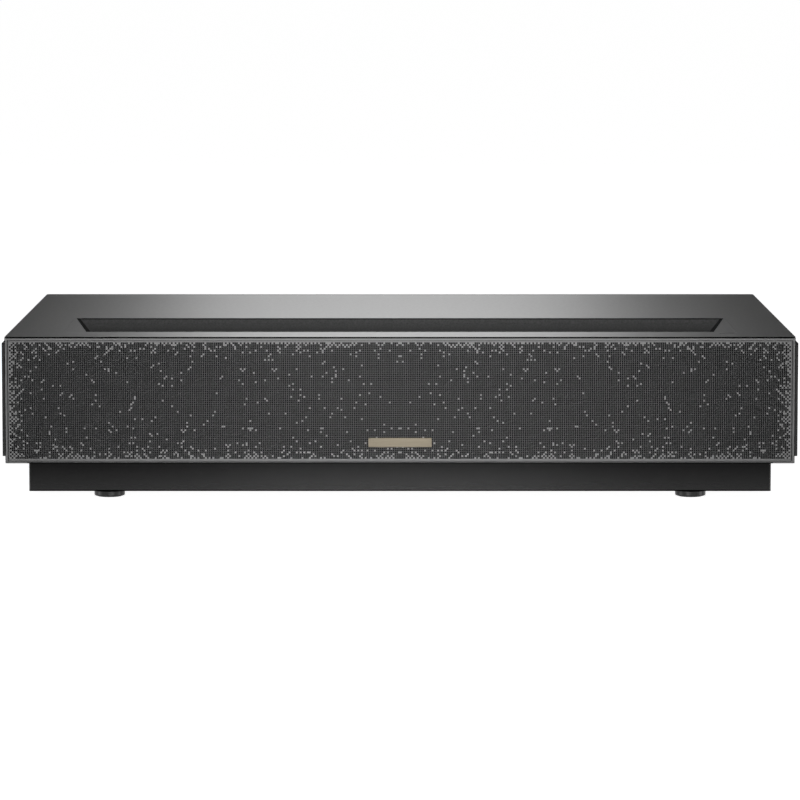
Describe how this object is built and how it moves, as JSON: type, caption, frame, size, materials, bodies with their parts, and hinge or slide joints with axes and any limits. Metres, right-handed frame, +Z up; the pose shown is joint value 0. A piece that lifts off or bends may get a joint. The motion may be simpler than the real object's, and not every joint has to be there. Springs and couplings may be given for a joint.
{
  "type": "home projector",
  "caption": "Ultra-short-throw home projector: wide low box on an inset plinth, perforated front, sunken light well with window, fans, sockets and screw feet.",
  "frame": {"origin": "centre of the footprint, on the surface that the feet rest on", "axes": "+X across the width to the right as seen from the front, the front face looks to -Y, +Z up"},
  "size_m": [0.6056, 0.405, 0.1262],
  "materials": {
    "cover_paint": "satin metallic grey paint",
    "frame_paint": "satin grey paint",
    "grille_paint": "satin grey painted perforated sheet",
    "acoustic_cloth": "woven",
    "badge_metal": "brushed champagne anodised",
    "vent_plastic": "moulded, fine grain",
    "side_paint": "satin grey paint",
    "rear_plastic": "moulded, fine grain",
    "base_plastic": "satin black moulded",
    "well_plastic": "textured light-absorbing black",
    "inner_plastic": "moulded black",
    "window_coat": "coated optical glass",
    "lens_glass": "coated optical glass",
    "mirror_coat": "first-surface aluminised",
    "black_alloy": "black anodised",
    "sheet_steel": "zinc plated",
    "cast_alloy": "die cast",
    "fin_alloy": "rolled sheet",
    "copper_pipe": "drawn copper tube, sealed wick inside",
    "phosphor": "phosphor ring on polished disc",
    "fan_plastic": "moulded black",
    "gear_resin": "acetal resin",
    "motor_steel": "drawn can",
    "cone_paper": "pressed paper cone in a steel basket",
    "board_resin": "solder mask over glass-fibre board",
    "socket_metal": "tin plated",
    "socket_plastic": "moulded black",
    "button_paint": "satin grey paint",
    "foot_metal": "turned, dark anodised",
    "foot_rubber": "moulded",
    "screw_steel": "black oxide"
  },
  "bodies": {
    "root": {"top_cover": "cover_paint", "left_side_cover": "side_paint", "right_side_cover": "side_paint", "left_vent_panel": "vent_plastic", "right_vent_panel": "vent_plastic", "rear_panel": "rear_plastic", "front_frame": "frame_paint", "front_grille": "grille_paint", "grille_cloth": "acoustic_cloth", "badge_plate": "badge_metal", "base_cover": "base_plastic", "chassis_plate": "sheet_steel", "well_trim": "cover_paint", "light_well": "well_plastic", "window_glass": "window_coat", "mirror_housing": "inner_plastic", "aspheric_mirror": "mirror_coat", "lens_barrel": "black_alloy", "front_lens": "lens_glass", "focus_motor": "motor_steel", "engine_housing": "cast_alloy", "engine_lid": "cast_alloy", "wheel_motor": "motor_steel", "heat_sink": "fin_alloy", "heat_pipes": "copper_pipe", "left_fan_frame": "fan_plastic", "right_front_fan_frame": "fan_plastic", "right_rear_fan_frame": "fan_plastic", "left_speaker_box": "inner_plastic", "right_speaker_box": "inner_plastic", "left_driver": "cone_paper", "right_driver": "cone_paper", "main_board": "board_resin", "power_supply": "board_resin", "hdmi_port_1": "socket_metal", "hdmi_port_2": "socket_metal", "usb_port": "socket_metal", "lan_port": "socket_metal", "optical_port": "socket_plastic", "audio_jack": "socket_plastic", "power_inlet": "socket_plastic", "button_board": "board_resin", "base_screws": "screw_steel", "rear_screws": "screw_steel"},
    "power_button": {"power_button": "button_paint"},
    "focus_ring": {"focus_ring": "black_alloy"},
    "focus_pinion": {"focus_pinion": "gear_resin"},
    "phosphor_wheel": {"phosphor_wheel": "phosphor"},
    "left_fan_rotor": {"left_fan_rotor": "fan_plastic"},
    "right_front_fan_rotor": {"right_front_fan_rotor": "fan_plastic"},
    "right_rear_fan_rotor": {"right_rear_fan_rotor": "fan_plastic"},
    "front_left_pad": {"front_left_pad": "foot_rubber"},
    "front_left_foot": {"front_left_foot": "foot_metal"},
    "front_right_pad": {"front_right_pad": "foot_rubber"},
    "front_right_foot": {"front_right_foot": "foot_metal"},
    "rear_left_pad": {"rear_left_pad": "foot_rubber"},
    "rear_left_foot": {"rear_left_foot": "foot_metal"},
    "rear_right_pad": {"rear_right_pad": "foot_rubber"},
    "rear_right_foot": {"rear_right_foot": "foot_metal"}
  },
  "joints": [
    {"name": "power_button_press", "type": "slide", "parent": "root", "child": "power_button", "axis": [0, 0, -1], "range_m": [0, 0.0008], "stiffness_N_per_m": 400},
    {"name": "focus_ring_turn", "type": "hinge", "parent": "root", "child": "focus_ring", "pos_m": [0, -0.033, 0.06], "axis": [0, 1, 0], "range_deg": [-25, 25]},
    {"name": "focus_pinion_turn", "type": "hinge", "parent": "root", "child": "focus_pinion", "pos_m": [0.0304, -0.033, 0.06], "axis": [0, 1, 0], "range_deg": [-95, 95]},
    {"name": "phosphor_wheel_spin", "type": "hinge", "parent": "root", "child": "phosphor_wheel", "pos_m": [-0.0475, 0.059, 0.069], "axis": [0, 1, 0], "continuous": true},
    {"name": "left_fan_spin", "type": "hinge", "parent": "root", "child": "left_fan_rotor", "pos_m": [-0.285, 0.02, 0.072], "axis": [1, 0, 0], "continuous": true},
    {"name": "right_front_fan_spin", "type": "hinge", "parent": "root", "child": "right_front_fan_rotor", "pos_m": [0.285, 0.059, 0.072], "axis": [1, 0, 0], "continuous": true},
    {"name": "right_rear_fan_spin", "type": "hinge", "parent": "root", "child": "right_rear_fan_rotor", "pos_m": [0.285, 0.141, 0.072], "axis": [1, 0, 0], "continuous": true},
    {"name": "front_left_foot_height", "type": "slide", "parent": "root", "child": "front_left_pad", "axis": [0, 0, -1], "range_m": [0, 0.006]},
    {"name": "front_left_foot_turn", "type": "hinge", "parent": "front_left_pad", "child": "front_left_foot", "pos_m": [-0.2235, -0.161, 0.004], "axis": [0, 0, -1], "range_deg": [0, 1440]},
    {"name": "front_right_foot_height", "type": "slide", "parent": "root", "child": "front_right_pad", "axis": [0, 0, -1], "range_m": [0, 0.006]},
    {"name": "front_right_foot_turn", "type": "hinge", "parent": "front_right_pad", "child": "front_right_foot", "pos_m": [0.2235, -0.161, 0.004], "axis": [0, 0, -1], "range_deg": [0, 1440]},
    {"name": "rear_left_foot_height", "type": "slide", "parent": "root", "child": "rear_left_pad", "axis": [0, 0, -1], "range_m": [0, 0.006]},
    {"name": "rear_left_foot_turn", "type": "hinge", "parent": "rear_left_pad", "child": "rear_left_foot", "pos_m": [-0.2235, 0.161, 0.004], "axis": [0, 0, -1], "range_deg": [0, 1440]},
    {"name": "rear_right_foot_height", "type": "slide", "parent": "root", "child": "rear_right_pad", "axis": [0, 0, -1], "range_m": [0, 0.006]},
    {"name": "rear_right_foot_turn", "type": "hinge", "parent": "rear_right_pad", "child": "rear_right_foot", "pos_m": [0.2235, 0.161, 0.004], "axis": [0, 0, -1], "range_deg": [0, 1440]}
  ],
  "couplings": [
    {"joint": "focus_pinion_turn", "follows": "focus_ring_turn", "ratio": -3.75},
    {"joint": "front_left_foot_height", "follows": "front_left_foot_turn", "m_per_rad": 0.0002387},
    {"joint": "front_right_foot_height", "follows": "front_right_foot_turn", "m_per_rad": 0.0002387},
    {"joint": "rear_left_foot_height", "follows": "rear_left_foot_turn", "m_per_rad": 0.0002387},
    {"joint": "rear_right_foot_height", "follows": "rear_right_foot_turn", "m_per_rad": 0.0002387}
  ]
}
